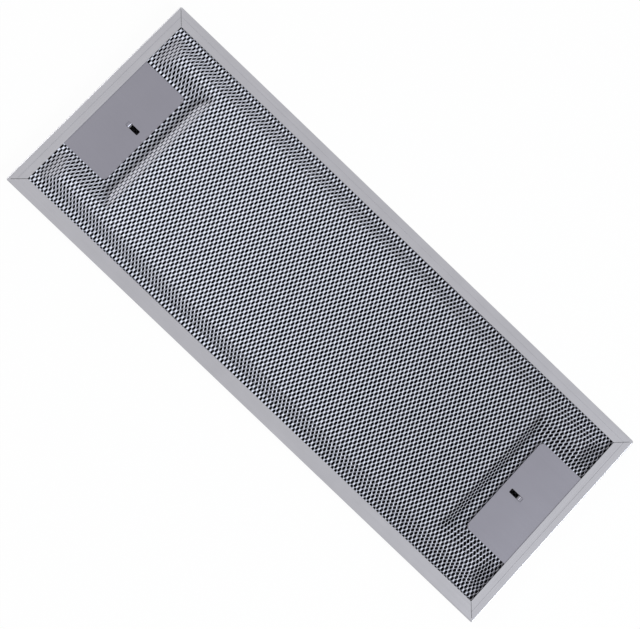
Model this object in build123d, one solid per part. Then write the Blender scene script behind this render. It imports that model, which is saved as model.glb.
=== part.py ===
from build123d import *
import os

# A metal grease filter for a cooker hood. It lies flat on its rear rim, front
# face up. X runs along its length, Y across it, and the origin is under its
# middle. All sizes are in millimetres.

# Overall size
LENGTH = 466.0
WIDTH = 180.0
FRAME_DEPTH = 9.0

# Frame: one strip rolled to a channel, then folded at three corners
STRIP = 0.5
FLANGE = 11.0
CORNER_RADIUS = 1.5
BEND_RADIUS = 0.8
LINE_INSET = 5.5
LINE_WIDTH = 1.4
LINE_DEPTH = 0.25
SEAM_WIDTH = 0.3
SEAM_STOP = 2.5

# Expanded metal sheets, as thick as their tilted strands
MESH = 1.5
SHEET_GAP = 0.5

# Raised field of the front mesh, notched round each end plate. Its sides run in
# as far as they rise, and the arms' ends and inner sides further by the arm slope.
FOOT_INSET = 17.0
END_INSET = 15.0
FIELD_RISE = 8.2
ARM_WIDTH = 28.0
ARM_SLOPE = 1.4
NOTCH_MARGIN = 8.2

# Diamond gaps between ridged strands: pitch across the strands and along them,
# and the share of each pitch that is open behind and in front of the ridges
FRONT_ACROSS = 19.2
FRONT_ALONG = 33.0
REAR_ACROSS = 25.8
REAR_ALONG = 40.6
GAP_BEHIND = 0.64
GAP_IN_FRONT = 0.84
GAP_MARGIN = 1.0

# Crimped layers between the two outer meshes
CRIMP_SHEET = 0.8
CRIMP_PITCH = 18.0
CRIMP_FLAT = 4.0
CREST_GAP_PITCH = 60.0
CREST_GAP_SHARE = 0.65
FIELD_LAYERS = 2
FIELD_GAP = 0.3

# End plates, tucked under the short flanges
PLATE = 0.8
PLATE_REACH = 50.8
PLATE_MARGIN = 2.6
PLATE_TUCK = 8.0
PLATE_CORNER = 2.4

# Slot for the hood's catch, with a tongue turned down at its outer end
SLOT_INSET = 6.6
SLOT_LENGTH = 10.9
SLOT_WIDTH = 3.8
SLOT_CORNER = 0.7
TONGUE_GAP = 0.3
TONGUE_FLAT = 1.3
TONGUE_RADIUS = 1.2
TONGUE_DROP = 2.4
TONGUE_ROOT = 0.6
CREASE_WIDTH = 0.9
CREASE_DEPTH = 0.5
CATCH_ROOM = 3.0

# Heights that follow from the stack in the channel
REAR_MESH_Z = STRIP
LOWER_CRIMP_Z = REAR_MESH_Z + MESH
PLATE_Z = FRAME_DEPTH - STRIP - PLATE
BORDER_TOP_Z = PLATE_Z
BORDER_Z = BORDER_TOP_Z - MESH
FIELD_TOP_Z = BORDER_TOP_Z + FIELD_RISE

# Half sizes of the window in the frame and of the raised field's flat top
WINDOW_X = LENGTH / 2 - FLANGE
WINDOW_Y = WIDTH / 2 - FLANGE
NOTCH_REACH = PLATE_REACH + NOTCH_MARGIN
FIELD_X = LENGTH / 2 - NOTCH_REACH - FIELD_RISE
FIELD_Y = WIDTH / 2 - FOOT_INSET - FIELD_RISE

SHEET_LENGTH = LENGTH - 2 * (STRIP + SHEET_GAP)
SHEET_WIDTH = WIDTH - 2 * (STRIP + SHEET_GAP)
NOTCH_WIDTH = WIDTH - 2 * (FOOT_INSET + ARM_WIDTH)
PLATE_WIDTH = NOTCH_WIDTH - 2 * PLATE_MARGIN
SLOT_X = LENGTH / 2 - PLATE_REACH + SLOT_INSET + SLOT_LENGTH / 2
DIAGONAL = 2 ** 0.5

ON_FLOOR = (Align.CENTER, Align.CENTER, Align.MIN)


def slab(length, width, height, z):
    """A box centred on the origin, with its underside at height z."""
    return Pos(0, 0, z) * Box(length, width, height, align=ON_FLOOR)


def tapered_block(low, low_z, high, high_z):
    """A block between two like outlines at two heights, with flat sides."""
    foot = [(x, y, low_z) for x, y in low]
    top = [(x, y, high_z) for x, y in high]
    sides = zip(foot, foot[1:] + foot[:1], top[1:] + top[:1], top)
    outlines = [foot, top, *sides]
    return Solid(Shell([Face(Wire.make_polygon(outline)) for outline in outlines]))


def round_bends(block, radius):
    """Rounds a block's top and bottom edges, where the strip is bent."""
    return fillet(block.faces().filter_by(Axis.Z).edges(), radius)


def flange_line(z):
    """The rolled line that runs round the middle of a flange."""
    outer = slab(LENGTH - 2 * LINE_INSET, WIDTH - 2 * LINE_INSET, LINE_DEPTH, z)
    inset = LINE_INSET + LINE_WIDTH
    return outer - slab(LENGTH - 2 * inset, WIDTH - 2 * inset, LINE_DEPTH, z)


def corner_seam(side_x, side_y, stop, height, z):
    """A 45 degree slit from inside a window corner out towards the frame's corner."""
    start = FLANGE + SEAM_WIDTH
    reach = (start - stop) * DIAGONAL
    middle = (start + stop) / 2
    slit = Box(reach, SEAM_WIDTH, height, align=ON_FLOOR)
    turn = 45 * side_x * side_y
    place = Pos(side_x * (LENGTH / 2 - middle), side_y * (WIDTH / 2 - middle), z)
    return place * Rot(0, 0, turn) * slit


def make_frame():
    """The channel frame, with mitred flanges and one open corner joint."""
    outside = slab(LENGTH, WIDTH, FRAME_DEPTH, 0)
    outside = fillet(outside.edges().filter_by(Axis.Z), CORNER_RADIUS)
    outside = round_bends(outside, BEND_RADIUS)
    cavity = slab(LENGTH - 2 * STRIP, WIDTH - 2 * STRIP, FRAME_DEPTH - 2 * STRIP, STRIP)
    cavity = round_bends(cavity, BEND_RADIUS - STRIP)
    window = slab(2 * WINDOW_X, 2 * WINDOW_Y, FRAME_DEPTH, 0)
    frame = outside - cavity - window
    front_flange_z = FRAME_DEPTH - STRIP
    frame -= flange_line(FRAME_DEPTH - LINE_DEPTH)
    frame -= flange_line(0)
    for side_x, side_y in ((1, 1), (1, -1), (-1, -1)):
        for z in (0, front_flange_z):
            frame -= corner_seam(side_x, side_y, SEAM_STOP, STRIP, z)
    return frame - corner_seam(-1, 1, -SEAM_WIDTH, FRAME_DEPTH, 0)


def field_outline(inset):
    """Plan of the raised field at one level of its sides, with a notch at each end."""
    step = inset - FOOT_INSET
    end_x = LENGTH / 2 - END_INSET - step * ARM_SLOPE
    side_y = WIDTH / 2 - inset
    notch_x = LENGTH / 2 - NOTCH_REACH - step
    notch_y = NOTCH_WIDTH / 2 + step * ARM_SLOPE
    quarter = [(notch_x, notch_y), (end_x, notch_y), (end_x, side_y)]
    half = quarter + [(-x, y) for x, y in reversed(quarter)]
    return half + [(x, -y) for x, y in reversed(half)]


def field_block(inset, z, height):
    """The raised field as a block with 45 degree sides."""
    return tapered_block(field_outline(inset), z, field_outline(inset + height), z + height)


def diamond(across, along, share):
    """One diamond, drawn as a share of the pitch each way."""
    tip_x = across * share / 2
    tip_y = along * share / 2
    return [(tip_x, 0), (0, tip_y), (-tip_x, 0), (0, -tip_y)]


def diamond_gaps(half_x, half_y, across, along, behind_z, front_z):
    """Staggered gaps inside a rectangle, wider in front so that the strands are ridges."""
    behind = diamond(across, along, GAP_BEHIND)
    gap = tapered_block(behind, behind_z, diamond(across, along, GAP_IN_FRONT), front_z)
    room_x = half_x - GAP_MARGIN - across * GAP_IN_FRONT / 2
    room_y = half_y - GAP_MARGIN - along * GAP_IN_FRONT / 2
    columns = int(room_x // (across / 2))
    gaps = []
    for column in range(-columns, columns + 1):
        shift = along / 2 * (column % 2)
        rows = int((room_y + shift) // along)
        for row in range(-rows, rows + 1):
            y = row * along + shift
            if abs(y) <= room_y:
                gaps.append(Pos(column * across / 2, y, 0) * gap)
    return gaps


def catch_windows(z, height):
    """Room behind both slots for the tip of the hood's catch."""
    size_x = SLOT_LENGTH + 2 * CATCH_ROOM
    size_y = SLOT_WIDTH + 2 * CATCH_ROOM
    window = slab(size_x, size_y, height, z)
    return [Pos(side * SLOT_X, 0, 0) * window for side in (-1, 1)]


def make_front_mesh():
    """The front sheet, pressed up to a raised field inside a flat border."""
    sheet = slab(SHEET_LENGTH, SHEET_WIDTH, MESH, BORDER_Z)
    sheet += field_block(FOOT_INSET, BORDER_TOP_Z, FIELD_RISE)
    sheet -= field_block(FOOT_INSET + MESH * (DIAGONAL - 1), BORDER_Z, FIELD_RISE)
    behind_z = FIELD_TOP_Z - MESH
    gaps = diamond_gaps(FIELD_X, FIELD_Y, FRONT_ACROSS, FRONT_ALONG, behind_z, FIELD_TOP_Z)
    return sheet - gaps - catch_windows(BORDER_Z, MESH)


def make_rear_mesh():
    """The flat sheet that closes the back of the pack."""
    sheet = slab(SHEET_LENGTH, SHEET_WIDTH, MESH, REAR_MESH_Z)
    behind_z = REAR_MESH_Z + MESH
    return sheet - diamond_gaps(WINDOW_X, WINDOW_Y, REAR_ACROSS, REAR_ALONG, behind_z, REAR_MESH_Z)


def crest_gaps(crests, half_x, half_y, z):
    """Slim diamonds along the crests of a crimped sheet, inside a rectangle."""
    outline = diamond(CRIMP_FLAT, CREST_GAP_PITCH, CREST_GAP_SHARE)
    gap = tapered_block(outline, z - CRIMP_SHEET, outline, z)
    rows = int(2 * half_y // CREST_GAP_PITCH)
    places = [(row - (rows - 1) / 2) * CREST_GAP_PITCH for row in range(rows)]
    inside = [crest for crest in crests if abs(crest) < half_x - CRIMP_FLAT]
    return [Pos(crest, place, 0) * gap for crest in inside for place in places]


def crimped_sheet(span, ridge_length, height, z, half_x, half_y):
    """A sheet crimped to a row of flat-topped waves along X, with its ridges along Y."""
    waves = int(span // CRIMP_PITCH)
    pitch = span / waves
    low = z + CRIMP_SHEET
    high = z + height
    crests = [(wave + 0.5) * pitch - span / 2 for wave in range(waves)]
    top = [(-span / 2, low)]
    for middle in crests:
        start = middle - pitch / 2
        top.append((start + CRIMP_FLAT / 2, low))
        top.append((middle - CRIMP_FLAT / 2, high))
        top.append((middle + CRIMP_FLAT / 2, high))
        top.append((start + pitch - CRIMP_FLAT / 2, low))
    top.append((span / 2, low))
    bottom = [(x, level - CRIMP_SHEET) for x, level in reversed(top)]
    section = make_face(Polyline(*(top + bottom), close=True))
    sheet = extrude(Plane.XZ * section, ridge_length / 2, both=True)
    return sheet - crest_gaps(crests, half_x, half_y, high)


def make_lower_crimp():
    """The full crimped layer, held in the channel under the front mesh's border."""
    height = BORDER_Z - LOWER_CRIMP_Z
    half_x = SLOT_X - SLOT_LENGTH / 2 - CATCH_ROOM
    layer = crimped_sheet(SHEET_LENGTH, SHEET_WIDTH, height, LOWER_CRIMP_Z, half_x, WINDOW_Y)
    return layer - catch_windows(LOWER_CRIMP_Z, height)


def make_field_crimp(index):
    """A crimped layer cut to fill one level of the raised field."""
    height = FIELD_RISE / FIELD_LAYERS
    z = BORDER_Z + index * height
    inset = FOOT_INSET + MESH * (DIAGONAL - 1) + FIELD_GAP * DIAGONAL
    room = field_block(inset, BORDER_Z, FIELD_RISE)
    if index % 2:
        return crimped_sheet(LENGTH, WIDTH, height, z, FIELD_X, FIELD_Y) & room
    return Rot(0, 0, 90) * crimped_sheet(WIDTH, LENGTH, height, z, FIELD_Y, FIELD_X) & room


def make_end_plate():
    """The plate at the +X end, with its catch slot and turned-down tongue."""
    inner_x = LENGTH / 2 - PLATE_REACH
    outer_x = LENGTH / 2 - FLANGE + PLATE_TUCK
    length = outer_x - inner_x
    blank = Pos(inner_x + length / 2, 0) * Rectangle(length, PLATE_WIDTH)
    blank = chamfer(blank.vertices().group_by(Axis.X)[0], PLATE_CORNER)
    blank -= Pos(SLOT_X, 0) * RectangleRounded(SLOT_LENGTH, SLOT_WIDTH, SLOT_CORNER)
    plate = extrude(Pos(0, 0, PLATE_Z) * blank, PLATE)
    root_x = SLOT_X + SLOT_LENGTH / 2
    plate += make_tongue(root_x)
    crease = slab(CREASE_WIDTH, SLOT_WIDTH, CREASE_DEPTH, PLATE_Z + PLATE - CREASE_DEPTH)
    return plate - Pos(root_x, 0, 0) * crease


def make_tongue(root_x):
    """The tongue's flat, quarter bend and drop, from the slot's outer end."""
    top_z = PLATE_Z + PLATE
    bend_z = top_z - TONGUE_RADIUS
    tip_z = bend_z - TONGUE_DROP
    end_x = root_x + TONGUE_ROOT
    bend_x = root_x - TONGUE_FLAT
    inner_radius = TONGUE_RADIUS - PLATE
    outer_x = bend_x - TONGUE_RADIUS
    inner_x = bend_x - inner_radius
    outline = Polyline((bend_x, PLATE_Z), (end_x, PLATE_Z), (end_x, top_z), (bend_x, top_z))
    outline += RadiusArc((bend_x, top_z), (outer_x, bend_z), -TONGUE_RADIUS)
    outline += Polyline((outer_x, bend_z), (outer_x, tip_z), (inner_x, tip_z), (inner_x, bend_z))
    outline += RadiusArc((inner_x, bend_z), (bend_x, PLATE_Z), inner_radius)
    width = SLOT_WIDTH - 2 * TONGUE_GAP
    return extrude(Plane.XZ * make_face(outline), width / 2, both=True)


def main():
    plate = make_end_plate()
    nodes = {
        "frame": make_frame(),
        "front_mesh": make_front_mesh(),
        "rear_mesh": make_rear_mesh(),
        "lower_crimped_mesh": make_lower_crimp(),
        "middle_crimped_mesh": make_field_crimp(0),
        "upper_crimped_mesh": make_field_crimp(1),
        "left_end_plate": Rot(0, 0, 180) * plate,
        "right_end_plate": plate,
    }
    os.makedirs("parts", exist_ok=True)
    for name, solid in nodes.items():
        export_step(solid, f"parts/{name}.step")


main()
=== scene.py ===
"""Looks of a cooker hood grease filter: expanded mesh, satin frame, end plates and white stage."""

import math
from typing import NamedTuple

import bpy
import numpy as np
from bpy.props import FloatProperty, FloatVectorProperty, IntProperty, PointerProperty
from mathutils import Matrix, Vector


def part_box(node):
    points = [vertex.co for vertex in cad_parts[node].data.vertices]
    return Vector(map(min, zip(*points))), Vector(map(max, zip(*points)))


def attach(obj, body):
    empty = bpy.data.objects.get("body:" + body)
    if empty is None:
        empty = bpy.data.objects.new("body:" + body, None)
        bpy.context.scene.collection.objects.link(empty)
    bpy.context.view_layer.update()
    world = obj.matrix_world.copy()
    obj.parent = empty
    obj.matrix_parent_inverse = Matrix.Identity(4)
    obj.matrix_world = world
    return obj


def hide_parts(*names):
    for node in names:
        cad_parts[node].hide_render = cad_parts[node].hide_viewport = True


bl_info = {
    "name": "Cooker Hood Filter",
    "version": (1, 0, 0),
    "blender": (4, 5, 0),
    "location": "View3D > Sidebar > Hood Filter",
    "description": "Models the mesh of a cooker hood filter and gives each piece its finish",
    "category": "Object",
}

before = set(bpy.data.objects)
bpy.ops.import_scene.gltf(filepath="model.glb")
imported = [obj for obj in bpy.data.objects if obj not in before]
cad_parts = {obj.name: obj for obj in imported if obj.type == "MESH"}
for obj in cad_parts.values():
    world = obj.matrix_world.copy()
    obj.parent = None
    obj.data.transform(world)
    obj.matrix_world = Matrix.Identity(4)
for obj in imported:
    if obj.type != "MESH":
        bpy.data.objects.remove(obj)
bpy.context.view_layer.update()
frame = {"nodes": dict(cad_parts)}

MILLIMETRE = 0.001
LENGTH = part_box("frame")[1][0] * 2
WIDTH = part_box("frame")[1][1] * 2
PLATE_INNER_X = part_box("right_end_plate")[0][0]
PLATE_HALF_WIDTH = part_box("right_end_plate")[1][1]
FIELD_TOP_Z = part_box("front_mesh")[1][2]
REAR_MESH_BOTTOM_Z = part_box("rear_mesh")[0][2]
SHEET_HALF_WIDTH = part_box("rear_mesh")[1][1]
CRIMPED_LAYERS = ("lower_crimped_mesh", "middle_crimped_mesh", "upper_crimped_mesh")
END_PLATES = ("left_end_plate", "right_end_plate")
CORNER_SHARPNESS = 5.0
MERGE_DISTANCE = 0.01 * MILLIMETRE
WEIGHT_DIGITS = 4
SENSOR_WIDTH = 36.0
FLOOR_DROP = 0.1 * MILLIMETRE
FLOOR_GLOW = 0.95
FLOOR_GREY = (0.9, 0.9, 0.9)
# Near-black painted shade for the floor under the filter.
COVERED_PAINTED_SHADE = (0.01, 0.01, 0.01)
WHITE = (1.0, 1.0, 1.0, 1.0)
CLOUD_DETAIL = 3.0
BACK_SPREAD = 0.3


class Metal(NamedTuple):
    """How a metal varies over its surface, with its noise in cells per metre."""

    grain: tuple
    shades: tuple
    roughness: float
    roughness_spread: float
    clouds: tuple = None
    grain_share: float = 1.0
    metallic: float = 1.0
    bump: float = 0.0


STRIP = Metal(
    grain=(12.0, 1800.0, 1800.0),
    clouds=(60.0, 60.0, 60.0),
    grain_share=0.45,
    shades=(0.9, 1.1),
    roughness=0.25,
    roughness_spread=0.1,
    bump=0.02 * MILLIMETRE,
)
SHEET = Metal(
    grain=(900.0, 320.0, 400.0),
    clouds=(25.0, 25.0, 25.0),
    grain_share=0.7,
    shades=(0.86, 1.12),
    roughness=0.46,
    roughness_spread=0.16,
    metallic=0.4,
)
PLATE = Metal(
    grain=(30.0, 2400.0, 2400.0),
    clouds=(40.0, 40.0, 40.0),
    grain_share=0.35,
    shades=(0.94, 1.06),
    roughness=0.28,
    roughness_spread=0.08,
    bump=0.01 * MILLIMETRE,
)
FOIL = Metal(grain=(700.0, 350.0, 350.0), shades=(0.6, 1.4), roughness=0.6, roughness_spread=0.2)


def millimetres(name, description, default):
    """A length property whose default is given in millimetres."""
    return FloatProperty(
        name=name, description=description, default=default * MILLIMETRE, subtype="DISTANCE"
    )


def degrees(name, description, default):
    """An angle property whose default is given in degrees."""
    return FloatProperty(
        name=name, description=description, default=math.radians(default), subtype="ANGLE"
    )


def point(name, description, default):
    """A property for a place in metres."""
    return FloatVectorProperty(name=name, description=description, default=default, subtype="XYZ")


def colour(name, description, default):
    """A colour property."""
    return FloatVectorProperty(
        name=name, description=description, default=default, subtype="COLOR", min=0.0, max=1.0
    )


def amount(name, description, default, subtype="NONE"):
    """A plain number property."""
    return FloatProperty(name=name, description=description, default=default, subtype=subtype)


def count(name, description, default):
    """A whole number property."""
    return IntProperty(name=name, description=description, default=default)


class StrandSettings(bpy.types.PropertyGroup):
    """Sizes of the expanded metal's cells and strands."""

    long_pitch: millimetres("Long way", "Length of one diamond, across the filter", 5.96)
    short_pitch: millimetres("Short way", "Width of one diamond, along the filter", 3.28)
    width: millimetres("Strand width", "Width of a strand's face", 0.79)
    thickness: millimetres("Strand thickness", "Thickness of the sheet that was slit", 0.3)
    bond: millimetres("Bond", "Length over which two strands stay joined", 1.9)
    tilt: degrees("Tilt", "Lean of the strands out of the sheet", 35)
    skew: degrees("Skew", "Turn of the sheet in its frame", -0.5)
    columns: count("Columns", "Pairs of strands along the filter", 138)
    periods: count("Periods", "Diamonds across the filter", 29)


class FieldSettings(bpy.types.PropertyGroup):
    """Sizes of the raised field of the front mesh."""

    rise: millimetres("Rise", "Height of the field over the mesh's border", 8.26)
    side_inset: millimetres("Side inset", "From a long edge to the foot of the field", 16.0)
    side_run: millimetres("Side run", "Width of the slope along a long edge", 11.0)
    left_inset: millimetres("Left inset", "From the -X edge to the foot of an arm", 11.5)
    left_run: millimetres("Left run", "Width of the slope at the -X end of an arm", 18.0)
    right_inset: millimetres("Right inset", "From the +X edge to the foot of an arm", 13.7)
    right_run: millimetres("Right run", "Width of the slope at the +X end of an arm", 14.8)
    notch_margin: millimetres("Notch margin", "Mesh border seen past a plate's inner edge", 7.8)
    notch_run: millimetres("Notch run", "Width of the slope past a plate's inner edge", 10.0)
    plate_margin: millimetres("Plate margin", "Mesh border seen beside a plate", 1.4)
    arm_run: millimetres("Arm run", "Width of an arm's slope beside a plate", 14.0)
    drawn_front: millimetres("Drawn in front", "Sheet drawn in from the -Y edge", 2.0)
    drawn_right: millimetres("Drawn in at right", "Sheet drawn in from the +X plate", 1.3)
    press_grid: millimetres("Press grid", "Cell size of the form that the mesh is pressed on", 1.6)
    press_easing: count("Press easing", "Rounding of the pressed bends", 2)
    catch_inset: millimetres("Catch inset", "From a plate's inner edge to its slot's room", 3.6)
    catch_length: millimetres("Catch length", "Length of the room behind a slot", 16.9)
    catch_width: millimetres("Catch width", "Width of the room behind a slot", 9.8)


class FinishSettings(bpy.types.PropertyGroup):
    """Colours of the metals."""

    frame: colour("Frame", "Satin rolled strip", (0.43, 0.428, 0.46))
    mesh: colour("Mesh", "Bright expanded sheet", (0.545, 0.55, 0.613))
    plate: colour("End plates", "Smooth grey sheet", (0.265, 0.261, 0.302))
    # Painted shade: the foil's near-black colour stands in for the shade inside the pack, on the
    # crimped layers and on the rear mesh's upper side.
    foil: colour("Crimped layers", "Dull dark foil inside the pack", (0.014, 0.014, 0.017))


class StageSettings(bpy.types.PropertyGroup):
    """The camera, the lamps and the floor."""

    camera_place: point("Camera", "Where the camera stands", (-0.01554, -0.07471, 0.73724))
    camera_target: point("Target", "What the camera looks at", (-0.00199, -0.00371, 0.0086))
    camera_roll: degrees("Roll", "Turn of the picture from +Y up", 43.564)
    lens: amount("Lens", "Focal length on a 36 mm sensor", 56.25)
    lamp_power: amount("Lamp", "Power of the soft lamp", 72.0, "POWER")
    lamp_place: point("Lamp place", "Where the soft lamp hangs", (2.75, 0.0, 1.8))
    lamp_tint: colour("Lamp tint", "Colour of the soft lamp", (0.9, 0.96, 1.0))
    fill_power: amount("Fill", "Power of the fill lamp", 30.0, "POWER")
    fill_place: point("Fill place", "Where the fill lamp hangs", (-2.75, 0.0, 1.8))
    fill_tint: colour("Fill tint", "Colour of the fill lamp", (1.0, 0.98, 0.95))
    lamp_size: amount("Lamp size", "Width of either lamp", 1.6, "DISTANCE")
    sky: amount("Sky", "Strength of the even light all round", 0.51)
    floor_size: amount("Floor", "Width of the floor", 4.0, "DISTANCE")


class FilterSettings(bpy.types.PropertyGroup):
    """All that a user would change on the filter."""

    strands: PointerProperty(type=StrandSettings)
    field: PointerProperty(type=FieldSettings)
    finish: PointerProperty(type=FinishSettings)
    stage: PointerProperty(type=StageSettings)


class Value:
    """A node's output that takes part in Python arithmetic by adding Math nodes."""

    def __init__(self, surface, output):
        self.surface = surface
        self.output = output

    def math(self, operation, *values):
        """This value put through one Math node."""
        return self.surface.node("ShaderNodeMath", {"operation": operation}, self, *values)

    def __add__(self, other):
        return self.math("ADD", other)

    def __sub__(self, other):
        return self.math("SUBTRACT", other)

    def __rsub__(self, other):
        return (self * -1) + other

    def __mul__(self, other):
        return self.math("MULTIPLY", other)

    def __lt__(self, other):
        return self.math("LESS_THAN", other)

    def __abs__(self):
        return self.math("ABSOLUTE")

    __radd__ = __add__
    __rmul__ = __mul__


class Surface:
    """A material's or a world's nodes, written as expressions."""

    def __init__(self, owner):
        self.owner = owner
        owner.use_nodes = True
        self.tree = owner.node_tree
        self.tree.nodes.clear()

    def node(self, kind, settings=None, *values, output=None, **named):
        """Adds a node, sets it up, feeds the sockets in use and returns one of its outputs."""
        node = self.tree.nodes.new(kind)
        for key, setting in (settings or {}).items():
            setattr(node, key, setting)
        used = [socket for socket in node.inputs if socket.enabled]
        for index, value in enumerate(values):
            self.feed(used[index], value)
        for key, value in named.items():
            self.feed(node.inputs[key.replace("_", " ")], value)
        offered = [socket for socket in node.outputs if socket.enabled]
        if output:
            offered = [socket for socket in offered if socket.name == output]
        return Value(self, offered[0]) if offered else None

    def feed(self, socket, value):
        """Links a value to a socket, or sets the socket to a plain number or colour."""
        if isinstance(value, Value):
            self.tree.links.new(value.output, socket)
        else:
            socket.default_value = value

    def place(self):
        """The point being shaded, as three values in metres."""
        where = self.node("ShaderNodeTexCoord", output="Object")
        return [self.node("ShaderNodeSeparateXYZ", None, where, output=axis) for axis in "XYZ"]

    def rays(self, kind):
        """1 for the rays of one kind and 0 for all others."""
        return self.node("ShaderNodeLightPath", output=f"Is {kind} Ray")

    def shown(self):
        """1 for the rays by which the camera, a mirror or glass sees, and 0 for the rest."""
        shown = self.rays("Camera") + self.rays("Glossy") + self.rays("Transmission")
        return shown.math("MINIMUM", 1.0)

    def noise(self, place, cells, detail=2.0):
        """Smooth noise from 0 to 1, with so many cells per metre along each axis."""
        stretched = [value * scale for value, scale in zip(place, cells)]
        vector = self.node("ShaderNodeCombineXYZ", None, *stretched)
        return self.node("ShaderNodeTexNoise", None, Vector=vector, Scale=1.0, Detail=detail)

    def blend(self, share, low, high):
        """A colour that goes from one to another."""
        return self.node("ShaderNodeMix", {"data_type": "RGBA"}, share, (*low, 1.0), (*high, 1.0))

    def mottle(self, metal, base, tone):
        """A colour that goes from a metal's darkest shade to its lightest."""
        darkest, lightest = (shade(base, factor) for factor in metal.shades)
        return self.blend(tone, darkest, lightest)

    def metal(self, metal, base, grain):
        """Finishes the surface as a metal, whose grain also roughens it and may stand out."""
        shader = {"Base_Color": base, "Metallic": metal.metallic}
        shader["Roughness"] = metal.roughness + grain * metal.roughness_spread
        if metal.bump:
            bump = {"Strength": 1.0, "Distance": metal.bump, "Height": grain}
            shader["Normal"] = self.node("ShaderNodeBump", None, **bump)
        finished = self.node("ShaderNodeBsdfPrincipled", None, **shader)
        self.node("ShaderNodeOutputMaterial", None, finished)
        return self.owner


def new_surface(name):
    """The surface of a new material."""
    return Surface(bpy.data.materials.new(name))


def shade(base, factor):
    """A colour made lighter or darker by a factor."""
    return tuple(min(1.0, channel * factor) for channel in base)


def mixed(metal, grain, clouds):
    """A metal's tone, in which soft clouds mix with its grain."""
    return grain * metal.grain_share + clouds * (1 - metal.grain_share)


def frame_metal(finish):
    """Satin strip with faint rolling streaks that run along each side of the frame."""
    surface = new_surface("satin_strip")
    x, y, z = surface.place()
    to_end = LENGTH / 2 - abs(x)
    to_side = WIDTH / 2 - abs(y)
    long_side = to_side < to_end
    along = y + (x - y) * long_side
    across = x + (y - x) * long_side
    streaks = surface.noise((along, across, z), STRIP.grain)
    clouds = surface.noise((x, y, z), STRIP.clouds, CLOUD_DETAIL)
    base = surface.mottle(STRIP, finish.frame, mixed(STRIP, streaks, clouds))
    return surface.metal(STRIP, base, streaks)


def mesh_metal(finish, painted_shade_inside=False):
    """Bright slit sheet, uneven from strand to strand, and with painted shade in the foil's dark
    colour on its upper side if asked.
    """
    surface = new_surface("bright_expanded_sheet")
    place = surface.place()
    strands = surface.noise(place, SHEET.grain)
    tone = mixed(SHEET, strands, surface.noise(place, SHEET.clouds))
    if painted_shade_inside:
        facing = surface.node("ShaderNodeTexCoord", output="Normal")
        # Painted shade: faces turned up, into the pack, take the foil's near-black colour; faces
        # turned down keep the mesh colour with a random tone.
        below = surface.node("ShaderNodeSeparateXYZ", None, facing, output="Z") < 0.0
        brightness = tone * BACK_SPREAD + (1 - BACK_SPREAD)
        base = surface.blend(brightness * below, finish.foil, finish.mesh)
    else:
        base = surface.mottle(SHEET, finish.mesh, tone)
    return surface.metal(SHEET, base, strands)


def plate_metal(finish):
    """Smooth sheet with a faint grain along its length."""
    surface = new_surface("smooth_plate")
    place = surface.place()
    grain = surface.noise(place, PLATE.grain)
    clouds = surface.noise(place, PLATE.clouds, CLOUD_DETAIL)
    base = surface.mottle(PLATE, finish.plate, mixed(PLATE, grain, clouds))
    return surface.metal(PLATE, base, grain)


def painted_shade_foil_metal(finish):
    """Dull foil of the inner layers, painted nearly black as the shade inside the pack, which the
    cells show.
    """
    surface = new_surface("foil_painted_shade")
    grain = surface.noise(surface.place(), FOIL.grain)
    return surface.metal(FOIL, surface.mottle(FOIL, finish.foil, grain), grain)


def backdrop(name):
    """White ground that takes a faint shadow, and is open under the filter to show its back; seen
    from above, it has near-black painted shade there.
    """
    surface = new_surface(name)
    x, y, _ = surface.place()
    covered = (abs(x) < LENGTH / 2) * (abs(y) < WIDTH / 2)
    # Painted shade: under the filter the floor's colour is near black for the camera from above.
    grey = surface.blend(covered, FLOOR_GREY, COVERED_PAINTED_SHADE)
    lit = surface.node("ShaderNodeBsdfDiffuse", None, Color=grey)
    glow = surface.node("ShaderNodeEmission", None, Color=WHITE, Strength=1.0)
    share = surface.shown() * (1 - covered) * FLOOR_GLOW
    ground = surface.node("ShaderNodeMixShader", None, share, lit, glow)
    clear = surface.node("ShaderNodeBsdfTransparent")
    back = surface.node("ShaderNodeNewGeometry", output="Backfacing")
    from_above = surface.rays("Camera") * (1 - back)
    opened = surface.node("ShaderNodeMixShader", None, covered * (1 - from_above), ground, clear)
    surface.node("ShaderNodeOutputMaterial", None, opened)
    return surface.owner


def deselect():
    """Leaves nothing selected, in object mode."""
    if bpy.context.object and bpy.context.object.mode != "OBJECT":
        bpy.ops.object.mode_set(mode="OBJECT")
    bpy.ops.object.select_all(action="DESELECT")


def make_active(obj):
    """Makes one object the only selected one."""
    deselect()
    obj.select_set(True)
    bpy.context.view_layer.objects.active = obj


def dress(obj, material):
    """Gives an object one material all over."""
    obj.data.materials.clear()
    obj.data.materials.append(material)


def points_of(obj):
    """An object's vertices as an array of rows."""
    points = np.empty(len(obj.data.vertices) * 3)
    obj.data.vertices.foreach_get("co", points)
    return points.reshape(-1, 3)


def pick(obj, chosen):
    """Opens a mesh for editing with only the chosen vertices selected."""
    for parts in (obj.data.polygons, obj.data.edges):
        parts.foreach_set("select", np.zeros(len(parts), dtype=bool))
    obj.data.vertices.foreach_set("select", chosen)
    bpy.ops.object.mode_set(mode="EDIT")
    bpy.ops.mesh.select_mode(type="VERT")


def repeat(obj, copies, offset, merge=None):
    """Copies a mesh along one direction, joining the copies where they meet if asked."""
    array = obj.modifiers.new("repeat", "ARRAY")
    array.count = copies
    array.use_relative_offset = False
    array.use_constant_offset = True
    array.constant_offset_displace = offset
    if merge:
        array.use_merge_vertices = True
        array.merge_threshold = merge
    bpy.ops.object.modifier_apply(modifier=array.name)


def shift(obj, offset):
    """Moves a mesh, leaving its object at the origin."""
    bpy.ops.object.mode_set(mode="EDIT")
    bpy.ops.mesh.select_all(action="SELECT")
    bpy.ops.transform.translate(value=offset)
    bpy.ops.object.mode_set(mode="OBJECT")


def cut_away(obj, chosen):
    """Deletes the chosen points of a mesh."""
    pick(obj, chosen)
    bpy.ops.mesh.delete(type="VERT")
    bpy.ops.object.mode_set(mode="OBJECT")


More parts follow.
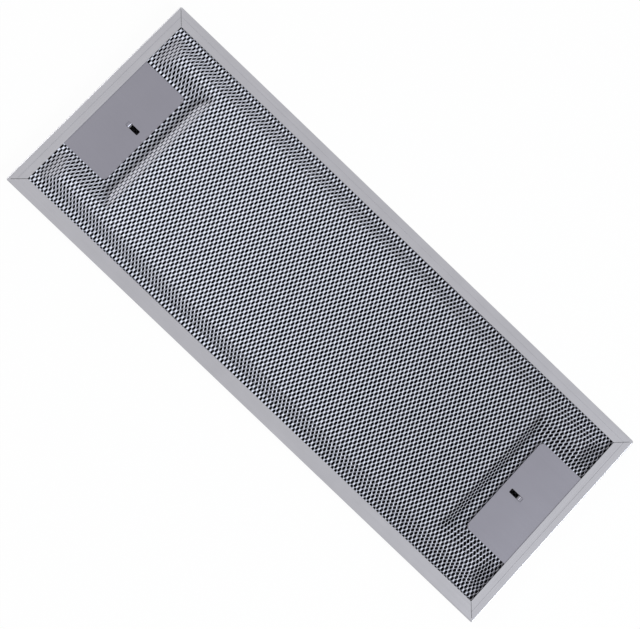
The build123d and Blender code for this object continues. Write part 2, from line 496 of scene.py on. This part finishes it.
def strand_section(name, strands):
    """The outline of one leaning strand, without the corner that lies hidden behind it."""
    deselect()
    bpy.ops.mesh.primitive_plane_add(size=1.0, rotation=(math.pi / 2, strands.tilt, 0))
    strand = bpy.context.object
    strand.name = name
    strand.data.name = name
    strand.scale = (strands.width, strands.thickness, 1.0)
    bpy.ops.object.transform_apply(location=False, rotation=True, scale=True)
    face = Vector((math.sin(strands.tilt), 0, math.cos(strands.tilt)))
    lean = Vector((math.cos(strands.tilt), 0, -math.sin(strands.tilt)))
    points = points_of(strand)
    pick(strand, (points @ lean > 0) & (points @ face < 0))
    bpy.ops.mesh.delete(type="VERT")
    bpy.ops.mesh.select_all(action="SELECT")
    bpy.ops.mesh.edge_face_add()
    bpy.ops.mesh.delete(type="ONLY_FACE")
    bpy.ops.mesh.select_all(action="SELECT")
    return strand


def expanded_sheet(name, strands):
    """A flat expanded sheet round the origin, with its strands leaning towards +X."""
    strand = strand_section(name, strands)
    swing_x = strands.short_pitch / 2 - strands.width * math.cos(strands.tilt)
    swing_z = strands.width * math.sin(strands.tilt)
    slant_y = strands.long_pitch / 2 - strands.bond
    for step in (
        (swing_x, slant_y, swing_z),
        (0, strands.bond, 0),
        (-swing_x, slant_y, -swing_z),
        (0, strands.bond, 0),
    ):
        bpy.ops.mesh.extrude_edges_move(TRANSFORM_OT_translate={"value": step})
    bpy.ops.mesh.select_all(action="SELECT")
    next_strand = (strands.short_pitch / 2, strands.long_pitch / 2, 0)
    bpy.ops.mesh.duplicate_move(TRANSFORM_OT_translate={"value": next_strand})
    bpy.ops.object.mode_set(mode="OBJECT")
    repeat(strand, strands.periods, (0, strands.long_pitch, 0), MERGE_DISTANCE)
    repeat(strand, strands.columns, (strands.short_pitch, 0, 0))
    points = points_of(strand)
    middle = (points.min(axis=0) + points.max(axis=0)) / 2
    shift(strand, -middle)
    strand.rotation_euler.z = strands.skew
    bpy.ops.object.transform_apply(location=False, rotation=True, scale=False)
    cut_away(strand, np.abs(points_of(strand)[:, 1]) > SHEET_HALF_WIDTH)
    return strand


def close_strands():
    """Caps the open ends of the active sheet's strands and turns all faces outwards."""
    bpy.ops.object.mode_set(mode="EDIT")
    bpy.ops.mesh.select_all(action="SELECT")
    bpy.ops.mesh.fill_holes(sides=0)
    bpy.ops.mesh.select_all(action="SELECT")
    bpy.ops.mesh.normals_make_consistent(inside=False)
    bpy.ops.object.mode_set(mode="OBJECT")


def ramp(place, start, length):
    """A rise from 0 to 1 over a length, rounded at its foot and its crest."""
    share = np.clip((place - start) / length, 0.0, 1.0)
    return share * share * (3.0 - 2.0 * share)


def round_corner(first, second):
    """The way down where two slopes meet in a corner that is only a little rounded."""
    return (first**CORNER_SHARPNESS + second**CORNER_SHARPNESS) ** (1.0 / CORNER_SHARPNESS)


def press_shares(points, field):
    """Shares of the press's three moves at each flat point: up, in from +X and in from -Y."""
    right = points[:, 0] > 0
    front = points[:, 1] < 0
    x = np.abs(points[:, 0])
    y = np.abs(points[:, 1])
    side = WIDTH / 2 - field.side_inset - field.side_run
    end_run = np.where(right, field.right_run, field.left_run)
    end = LENGTH / 2 - np.where(right, field.right_inset, field.left_inset) - end_run
    root = PLATE_INNER_X - field.notch_margin - field.notch_run
    arm = PLATE_HALF_WIDTH + field.plate_margin + field.arm_run
    down_side = ramp(y, side, field.side_run + field.drawn_front * front)
    down_end = ramp(x, end, end_run)
    down_notch = ramp(x, root, field.notch_run + field.drawn_right * right)
    down_arm = ramp(-y, -arm, field.arm_run)
    off_middle = round_corner(down_notch, down_side)
    off_arm = round_corner(down_end, np.maximum(down_arm, down_side))
    up = 1.0 - np.minimum(np.minimum(off_middle, off_arm), 1.0)
    return up, right * down_notch * down_arm, front * down_side


def press_form(field):
    """A flat grid as large as the filter, to be raised as the press raises the mesh."""
    deselect()
    columns = round(LENGTH / field.press_grid)
    rows = round(WIDTH / field.press_grid)
    bpy.ops.mesh.primitive_grid_add(x_subdivisions=columns, y_subdivisions=rows, size=1.0)
    form = bpy.context.object
    form.scale = (LENGTH, WIDTH, 1.0)
    bpy.ops.object.transform_apply(location=False, rotation=False, scale=True)
    return form


def displace(form, axis, distance, shares):
    """Moves the form's points along one axis, each by its share of a distance."""
    group = form.vertex_groups.new(name="share")
    levels = shares.round(WEIGHT_DIGITS)
    for level in np.unique(levels[levels > 0]):
        group.add(np.flatnonzero(levels == level).tolist(), float(level), "REPLACE")
    move = form.modifiers.new("move", "DISPLACE")
    move.direction = axis
    move.strength = distance
    move.mid_level = 0.0
    move.vertex_group = group.name
    bpy.ops.object.modifier_apply(modifier=move.name)


def raise_form(form, field):
    """Raises the form to the shape of the raised field, drawing it in where it bends."""
    make_active(form)
    up, from_right, from_front = press_shares(points_of(form), field)
    displace(form, "Z", field.rise, up)
    displace(form, "X", -field.drawn_right, from_right)
    displace(form, "Y", field.drawn_front, from_front)
    ease = form.modifiers.new("ease", "SMOOTH")
    ease.use_x = False
    ease.use_y = False
    ease.iterations = field.press_easing
    bpy.ops.object.modifier_apply(modifier=ease.name)


def press(sheet, field):
    """Presses a sheet that lies at the form's level, so that its strands turn with the slopes."""
    form = press_form(field)
    make_active(sheet)
    follow = sheet.modifiers.new("follow", "SURFACE_DEFORM")
    follow.target = form
    bpy.ops.object.surfacedeform_bind(modifier=follow.name)
    if not follow.is_bound:
        raise RuntimeError("the front mesh did not bind to its press form")
    raise_form(form, field)
    make_active(sheet)
    bpy.ops.object.modifier_apply(modifier=follow.name)
    bpy.data.objects.remove(form)


def open_catch_room(sheet, field):
    """Cuts the sheet away behind each plate's slot."""
    points = points_of(sheet)
    middle_x = PLATE_INNER_X + field.catch_inset + field.catch_length / 2
    in_x = np.abs(np.abs(points[:, 0]) - middle_x) < field.catch_length / 2
    in_y = np.abs(points[:, 1]) < field.catch_width / 2
    cut_away(sheet, in_x & in_y)


def hand_over(piece, node):
    """Puts a new piece in the place of its solid."""
    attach(piece, "root")
    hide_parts(node)


class HOODFILTER_OT_front_mesh(bpy.types.Operator):
    """Model the front sheet of expanded metal, pressed up to its raised field"""

    bl_idname = "hood_filter.front_mesh"
    bl_label = "Front Mesh"

    def execute(self, context):
        settings = context.scene.hood_filter
        field = settings.field
        sheet = expanded_sheet("front_expanded_mesh", settings.strands)
        press(sheet, field)
        open_catch_room(sheet, field)
        shift(sheet, (0, 0, FIELD_TOP_Z - points_of(sheet)[:, 2].max()))
        close_strands()
        dress(sheet, mesh_metal(settings.finish))
        hand_over(sheet, "front_mesh")
        return {"FINISHED"}


class HOODFILTER_OT_rear_mesh(bpy.types.Operator):
    """Model the flat sheet of expanded metal at the back"""

    bl_idname = "hood_filter.rear_mesh"
    bl_label = "Rear Mesh"

    def execute(self, context):
        settings = context.scene.hood_filter
        sheet = expanded_sheet("rear_expanded_mesh", settings.strands)
        bpy.ops.object.mode_set(mode="EDIT")
        bpy.ops.mesh.select_all(action="SELECT")
        bpy.ops.transform.mirror(constraint_axis=(False, False, True))
        bpy.ops.object.mode_set(mode="OBJECT")
        shift(sheet, (0, 0, REAR_MESH_BOTTOM_Z - points_of(sheet)[:, 2].min()))
        close_strands()
        # The rear sheet's upper side gets painted shade.
        dress(sheet, mesh_metal(settings.finish, painted_shade_inside=True))
        hand_over(sheet, "rear_mesh")
        return {"FINISHED"}


class HOODFILTER_OT_frame(bpy.types.Operator):
    """Give the folded frame its satin finish"""

    bl_idname = "hood_filter.frame"
    bl_label = "Frame"

    def execute(self, context):
        dress(frame["nodes"]["frame"], frame_metal(context.scene.hood_filter.finish))
        return {"FINISHED"}


class HOODFILTER_OT_end_plates(bpy.types.Operator):
    """Give the two slotted end plates their smooth grey finish"""

    bl_idname = "hood_filter.end_plates"
    bl_label = "End Plates"

    def execute(self, context):
        metal = plate_metal(context.scene.hood_filter.finish)
        for name in END_PLATES:
            dress(frame["nodes"][name], metal)
        return {"FINISHED"}


class HOODFILTER_OT_crimped_layers(bpy.types.Operator):
    """Give the crimped layers inside the pack their dull finish, painted dark as shade"""

    bl_idname = "hood_filter.crimped_layers"
    bl_label = "Crimped Layers"

    def execute(self, context):
        metal = painted_shade_foil_metal(context.scene.hood_filter.finish)
        for name in CRIMPED_LAYERS:
            dress(frame["nodes"][name], metal)
        return {"FINISHED"}


class HOODFILTER_OT_stage(bpy.types.Operator):
    """Set up the white floor, the even light and the camera"""

    bl_idname = "hood_filter.stage"
    bl_label = "Stage"

    def execute(self, context):
        stage = context.scene.hood_filter.stage
        self.lay_floor(stage)
        self.light(context.scene, stage)
        self.aim_camera(context.scene, stage)
        context.scene.view_settings.view_transform = "Standard"
        return {"FINISHED"}

    def lay_floor(self, stage):
        """A white floor under the filter."""
        deselect()
        bpy.ops.mesh.primitive_plane_add(size=stage.floor_size, location=(0, 0, -FLOOR_DROP))
        floor = bpy.context.object
        floor.name = "floor"
        dress(floor, backdrop("white_floor"))

    def light(self, scene, stage):
        """Even light from a white sky, a soft lamp past the right end and a weaker one opposite."""
        sky = Surface(bpy.data.worlds.new("white_sky"))
        level = sky.node("ShaderNodeMapRange", None, sky.shown(), To_Min=stage.sky, To_Max=1.0)
        glow = sky.node("ShaderNodeBackground", None, Color=WHITE, Strength=level)
        sky.node("ShaderNodeOutputWorld", None, glow)
        scene.world = sky.owner
        soft = self.hang_lamp(scene, "soft_lamp", stage.lamp_place, stage.lamp_size)
        soft.energy = stage.lamp_power
        soft.color = stage.lamp_tint
        fill = self.hang_lamp(scene, "fill_lamp", stage.fill_place, stage.lamp_size)
        fill.energy = stage.fill_power
        fill.color = stage.fill_tint

    def hang_lamp(self, scene, name, place, size):
        """A large soft lamp that is turned to the filter."""
        lamp_data = bpy.data.lights.new(name, "AREA")
        lamp_data.shape = "DISK"
        lamp_data.size = size
        lamp = bpy.data.objects.new(name, lamp_data)
        scene.collection.objects.link(lamp)
        lamp.location = place
        lamp.rotation_euler = (-lamp.location).to_track_quat("-Z", "Y").to_euler()
        return lamp_data

    def aim_camera(self, scene, stage):
        """The photograph's view: from over the filter, which lies across the picture."""
        camera_data = bpy.data.cameras.new("camera")
        camera_data.sensor_fit = "HORIZONTAL"
        camera_data.sensor_width = SENSOR_WIDTH
        camera_data.lens = stage.lens
        camera = bpy.data.objects.new("camera", camera_data)
        scene.collection.objects.link(camera)
        place = Vector(stage.camera_place)
        view = (Vector(stage.camera_target) - place).normalized()
        top = Vector((-math.sin(stage.camera_roll), math.cos(stage.camera_roll), 0))
        right = view.cross(top).normalized()
        axes = Matrix((right, right.cross(view), -view)).transposed()
        camera.matrix_world = Matrix.Translation(place) @ axes.to_4x4()
        scene.camera = camera


class HOODFILTER_PT_sidebar(bpy.types.Panel):
    """Lists the filter's pieces and their settings"""

    bl_label = "Cooker Hood Filter"
    bl_idname = "HOODFILTER_PT_sidebar"
    bl_space_type = "VIEW_3D"
    bl_region_type = "UI"
    bl_category = "Hood Filter"

    def draw(self, context):
        layout = self.layout
        settings = context.scene.hood_filter
        for operator in OPERATORS:
            layout.operator(operator.bl_idname)
        for group in (settings.strands, settings.field, settings.finish, settings.stage):
            box = layout.box()
            for key in group.bl_rna.properties.keys():
                if key not in {"rna_type", "name"}:
                    box.prop(group, key)


OPERATORS = (
    HOODFILTER_OT_front_mesh,
    HOODFILTER_OT_rear_mesh,
    HOODFILTER_OT_frame,
    HOODFILTER_OT_end_plates,
    HOODFILTER_OT_crimped_layers,
    HOODFILTER_OT_stage,
)
GROUPS = (StrandSettings, FieldSettings, FinishSettings, StageSettings, FilterSettings)
CLASSES = (*GROUPS, *OPERATORS, HOODFILTER_PT_sidebar)


def register():
    for cls in CLASSES:
        bpy.utils.register_class(cls)
    bpy.types.Scene.hood_filter = PointerProperty(type=FilterSettings)


def unregister():
    del bpy.types.Scene.hood_filter
    for cls in reversed(CLASSES):
        bpy.utils.unregister_class(cls)


def main():
    register()
    bpy.ops.hood_filter.front_mesh()
    bpy.ops.hood_filter.rear_mesh()
    bpy.ops.hood_filter.frame()
    bpy.ops.hood_filter.end_plates()
    bpy.ops.hood_filter.crimped_layers()
    bpy.ops.hood_filter.stage()


if __name__ == "__main__":
    main()
